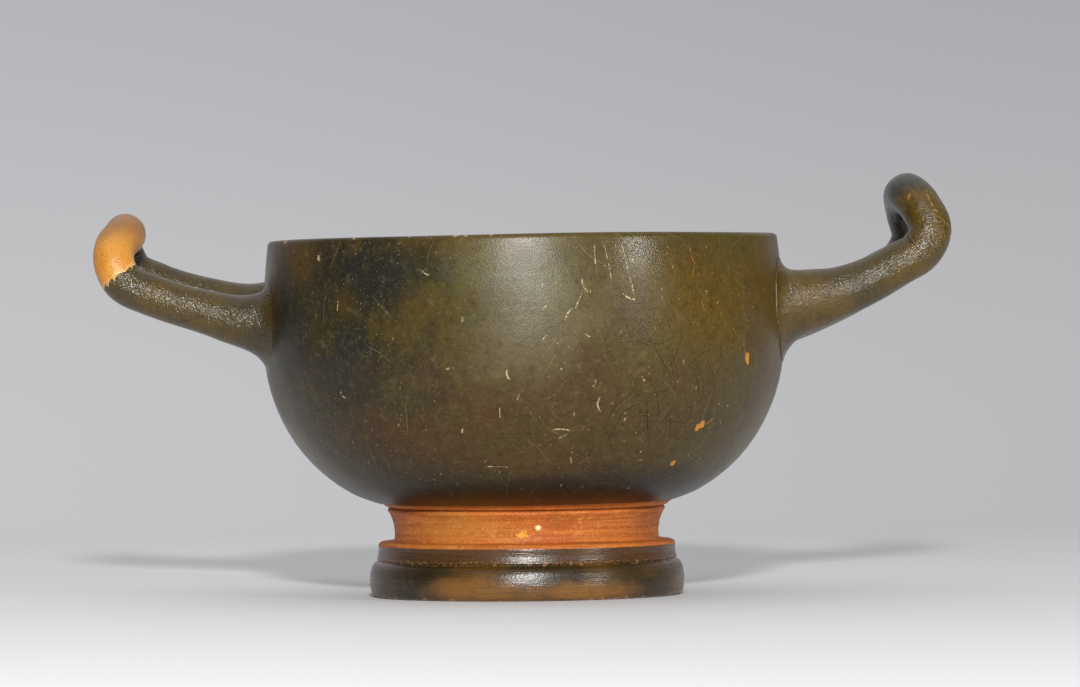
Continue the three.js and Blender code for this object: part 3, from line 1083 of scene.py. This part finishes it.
def lay_band_clay(graph, rings):
    graph.colour = graph.mix(graph.ramp(rings, 0.35, 0.65), BAND_LIGHT, BAND_DARK)
    graph.dapple(graph.noise(graph.place, 11, detail=3.0), 0.4, 0.65, BAND_RED, 0.6)
    ragged = ragged_edge(graph, 4, 4.0, 0.65, 0.25, 0.4)
    graph.paint(cloud(graph, ragged, -34, 16.5, 26, 5), BAND_YELLOW, 0.55)
    brown = graph.most([cloud(graph, ragged, 14, 19, 9, 1.6), cloud(graph, ragged, 62, 18, 16, 3)])
    graph.paint(brown, BAND_BROWN, 0.45)
    sand = graph.noise(graph.place, 0.55, detail=3.0, roughness=0.7)
    graph.dapple(sand, 0.5, 0.7, SAND_DARK, 0.35)
    graph.dapple(sand, 0.48, 0.32, SAND_LIGHT, 0.3)
    flattened = graph.vector("MULTIPLY", graph.place, (1, 1, 2))
    graph.dapple(graph.noise(flattened, 2.2, detail=4.0, roughness=0.7), 0.55, 0.75, PALE_CLAY, 0.55)


def make_bare_clay():
    graph = begin("bare_clay", specular=0.2)
    rings = wheel_rings(graph, 0.7)
    lay_band_clay(graph, rings)
    away = graph.minus(1.0, graph.maths("COSINE", graph.times(graph.around, TO_RADIANS)))
    level = graph.minus(graph.height, graph.times(away, BY_EYE))
    groove = graph.times(graph.ramp(level, 20.8, 21.0), graph.ramp(level, 21.45, 21.2))
    graph.paint(groove, GROOVE_TONE, 0.7)
    graph.paint(graph.most([dashes(graph, lean, 3.0, 0.08, 0.04) for lean in (60, 110)]), LINE_CLAY, 0.35)
    graph.paint(cloud(graph, 0.0, 5.0, 17.1, 1.4, 0.7), CREAM_SPOT)
    splash = graph.ramp(graph.noise(graph.place, 1), 0.3, 0.7, -0.5, 0.5)
    graph.paint(cloud(graph, splash, -1.5, 15.3, 3.0, 1.0), YELLOW_SPOT, 0.8)
    graph.paint(graph.worn, LINE_CLAY)
    grain = graph.times(graph.noise(graph.place, 0.5, detail=3.0), 0.03)
    finish(graph, graph.ramp(rings, 0.3, 0.7, 0.5, 0.6), graph.plus(graph.times(rings, 0.10), grain))
    print("bare band:", len(graph.tree.nodes), "nodes")


make_bare_clay()

# %% [markdown]
# ## The glaze of the foot
#
# The foot stood on the kiln's floor and has been handled most. Its glaze is thin and dark, worn
# to ochre along the lower edge, with a line of small chips over the groove.

# %% The finish of the foot
FOOT_OLIVE, FOOT_BROWN, FOOT_BLACK = srgb(78, 55, 16), srgb(48, 35, 10), srgb(22, 19, 13)
FILLET_BROWN, WORN_OCHRE, CHIP_CLAY = srgb(82, 48, 18), srgb(130, 86, 34), srgb(170, 118, 78)


def lay_foot_slip(graph, rings, mottle):
    graph.colour = graph.mix(graph.ramp(graph.noise(graph.place, 10), 0.35, 0.65), FOOT_OLIVE, FOOT_BROWN)
    ragged = ragged_edge(graph, 5, 4.0, 0.6, 0.25, 0.4)
    dark = graph.most([cloud(graph, ragged, -52, 5, 22, 9), cloud(graph, ragged, 50, 2, 10, 3)])
    graph.paint(dark, FOOT_BLACK, 0.6)
    graph.paint(graph.ramp(graph.height, 8.4, 9.2), FILLET_BROWN, 0.55)
    softer = graph.times(ragged, 0.5)
    ochre = graph.most([cloud(graph, softer, -20, 2.6, 22, 3.8), cloud(graph, softer, 20, 1.8, 28, 2.8)])
    graph.paint(ochre, WORN_OCHRE, 0.8)
    graph.dapple(rings, 0.5, 0.75, NIGHT, 0.5)
    graph.dapple(mottle, 0.55, 0.75, NIGHT, 0.5)


def make_foot_glaze():
    graph = begin("foot_glaze", specular=0.6)
    rings = wheel_rings(graph, 0.5)
    mottle = graph.noise(graph.place, 1.4, detail=4.0, roughness=0.7)
    lay_foot_slip(graph, rings, mottle)
    chip_line = graph.times(graph.ramp(graph.height, 7.9, 8.4), graph.ramp(graph.height, 9.8, 9.0))
    chips = graph.times(chip_line, graph.ramp(graph.noise(graph.place, 0.5, detail=3.0), 0.55, 0.65))
    bottom = graph.times(graph.ramp(graph.height, 0.5, 0.15), graph.ramp(mottle, 0.44, 0.56))
    top = graph.times(graph.ramp(graph.height, 12.8, 13.1), graph.ramp(mottle, 0.4, 0.5))
    graph.paint(graph.most([chips, bottom, top, graph.worn]), CHIP_CLAY, 0.6)
    graph.paint(dashes(graph, 70, 0.25, 0.13, 0.04), ORANGE, 0.5)
    grain = graph.times(graph.noise(graph.place, 0.5, roughness=0.6), 0.06)
    finish(graph, graph.ramp(rings, 0.3, 0.7, 0.25, 0.33), graph.plus(grain, graph.times(rings, 0.10)))
    print("foot glaze:", len(graph.tree.nodes), "nodes")


make_foot_glaze()

# %% [markdown]
# ## The underside
#
# The ring that the cup stands on and the hollow inside it are bare clay, plainer than the band,
# darkened by handling and pale where the ring has rubbed on tables.

# %% The finish of the underside
BASE_LIGHT, BASE_DARK = srgb(190, 116, 62), srgb(166, 94, 48)
BASE_STAIN, BASE_RUBBED = srgb(108, 66, 38), srgb(214, 158, 100)


def make_base_clay():
    graph = begin("base_clay", specular=0.5)
    outline_place = graph.add("ShaderNodeCombineXYZ", {0: graph.radius, 1: 0.0, 2: graph.height})
    circles = graph.noise(outline_place, 1.3)
    graph.colour = graph.mix(graph.ramp(circles, 0.35, 0.65), BASE_LIGHT, BASE_DARK)
    stain = graph.ramp(graph.noise(graph.place, 9, detail=4.0, roughness=0.6), 0.48, 0.7, 0.0, 0.6)
    graph.paint(stain, BASE_STAIN)
    rubbed = graph.times(graph.ramp(graph.height, 0.6, 0.1), graph.ramp(wheel_rings(graph, 1.2), 0.4, 0.6))
    graph.paint(rubbed, BASE_RUBBED, 0.6)
    grain = graph.times(graph.noise(graph.place, 0.6, detail=3.0), 0.05)
    finish(graph, graph.ramp(stain, 0, 1, 0.7, 0.6), graph.plus(graph.times(circles, 0.12), grain))
    print("underside:", len(graph.tree.nodes), "nodes")


make_base_clay()

# %% [markdown]
# ## The floor
#
# The cup stands on a pale round floor whose far side melts into the backdrop. The floor fades
# out with its Alpha, so there is no hard horizon behind the cup.

# %% Floor
FLOOR_MIDDLE, FLOOR_CLEAR, FLOOR_EDGE = -350, 660, 1000
FLOOR_LEFT, FLOOR_RIGHT = srgb(239, 239, 240), srgb(226, 226, 227)

bpy.ops.mesh.primitive_circle_add(
    vertices=96, radius=FLOOR_EDGE * MM, fill_type="NGON", location=(0, FLOOR_MIDDLE * MM, 0))
floor = bpy.context.object
floor.name = "floor"
floor_material = bpy.data.materials.new("pale_floor")
floor.data.materials.append(floor_material)
floor_material.use_nodes = True
graph = Graph(floor_material.node_tree)
shader = floor_material.node_tree.nodes["Principled BSDF"]
place = graph.add("ShaderNodeTexCoord", {}, output="Object")
from_middle = graph.add("ShaderNodeVectorMath", {0: place}, output=1, operation="LENGTH")
graph.feed(graph.ramp(from_middle, FLOOR_EDGE * MM * 0.97, FLOOR_CLEAR * MM), shader.inputs["Alpha"])
# Painted shade: the floor is painted a little darker towards the right
across = graph.ramp(graph.split(place)["X"], -130 * MM, 130 * MM)
graph.feed(graph.mix(across, FLOOR_LEFT, FLOOR_RIGHT), shader.inputs["Base Color"])
shader.inputs["Roughness"].default_value = 0.7
shader.inputs["Specular IOR Level"].default_value = 0.05

# %% [markdown]
# ## Light
#
# A grey backdrop lights the cup from behind and from straight above: the world. Its tone falls
# off a little upwards and to the right, and it is dark behind the viewer, so that the glaze
# doesn't look veiled. One small soft panel in front, above the cup, makes the highlights on the
# belly and the handles, a wide weak one fills them in, and a third puts a sheen near the rim.

# %% The backdrop
HORIZON_TONE, BACKDROP_TONE, OVERHEAD_TONE = srgb(192, 192, 194), srgb(173, 173, 178), srgb(225, 225, 226)

world = bpy.data.worlds.new("backdrop")
bpy.context.scene.world = world
world.use_nodes = True
graph = Graph(world.node_tree)
x, y, z = graph.split(graph.add("ShaderNodeTexCoord", {}, output="Generated"))
graph.colour = graph.mix(graph.ramp(z, -0.02, 0.075), HORIZON_TONE, BACKDROP_TONE)
graph.dapple(z, 0.1, 0.6, OVERHEAD_TONE, 1.0)
sideways = graph.ramp(x, -0.11, 0.11, 1.07, 0.93)
room = graph.maths("MAXIMUM", graph.ramp(y, 0.1, 0.85, 0.12, 1.0), graph.ramp(z, 0.5, 0.9, 0.12, 0.9))
background = world.node_tree.nodes["Background"]
graph.feed(graph.colour, background.inputs["Color"])
graph.feed(graph.times(sideways, room), background.inputs["Strength"])

# %% The panels
CUP_MIDDLE = Vector((0, 0, RIM_HEIGHT / 2 * MM))


def lamp(name, azimuth, elevation, distance, size, power):
    """A soft panel of light that faces the cup. Azimuth 0 is in front, 90 on the right."""
    light = bpy.data.lights.new(name, "AREA")
    light.shape = "SQUARE"
    light.size = size
    light.energy = power
    made = bpy.data.objects.new(name, light)
    bpy.context.collection.objects.link(made)
    a, e = math.radians(azimuth), math.radians(elevation)
    direction = Vector((math.sin(a) * math.cos(e), -math.cos(a) * math.cos(e), math.sin(e)))
    made.location = CUP_MIDDLE + direction * distance
    made.rotation_mode = "QUATERNION"
    made.rotation_quaternion = direction.to_track_quat("Z", "Y")
    print(name, "gives", power, "W from", round(distance, 2), "m")


lamp("key", 1, 18, 1.7, 0.12, 26.5)
lamp("front_panel", 5, 3, 1.3, 0.4, 0.7)
lamp("right_panel", 51, 13, 1.2, 0.07, 3.0)

# %% [markdown]
# ## Camera
#
# The camera looks almost level, a little above the middle of the bowl, from far enough away that
# the cup hardly foreshortens. The lens is worked out from the width that the view should take in
# at the cup. A small roll brings the rim to its lean.

# %% The camera
CAMERA_DISTANCE = 1560 * MM
CAMERA_X, CAMERA_HEIGHT, AIM_HEIGHT = 3.7 * MM, 67 * MM, 60.3 * MM
VIEW_WIDTH = 259.2 * MM
CAMERA_ROLL = math.radians(-0.62)

scene = bpy.context.scene
camera_data = bpy.data.cameras.new("camera")
camera = bpy.data.objects.new("camera", camera_data)
bpy.context.collection.objects.link(camera)
camera_data.lens = camera_data.sensor_width * CAMERA_DISTANCE / VIEW_WIDTH
camera_data.clip_end = 50
eye = Vector((CAMERA_X, -CAMERA_DISTANCE, CAMERA_HEIGHT))
target = Vector((CAMERA_X, 0, AIM_HEIGHT))
camera.location = eye
camera.rotation_mode = "QUATERNION"
level_view = (target - eye).to_track_quat("-Z", "Y")
camera.rotation_quaternion = level_view @ Quaternion((0, 0, 1), CAMERA_ROLL)
scene.camera = camera
scene.view_settings.view_transform = "Standard"
print("the lens is", round(camera_data.lens), "mm long")
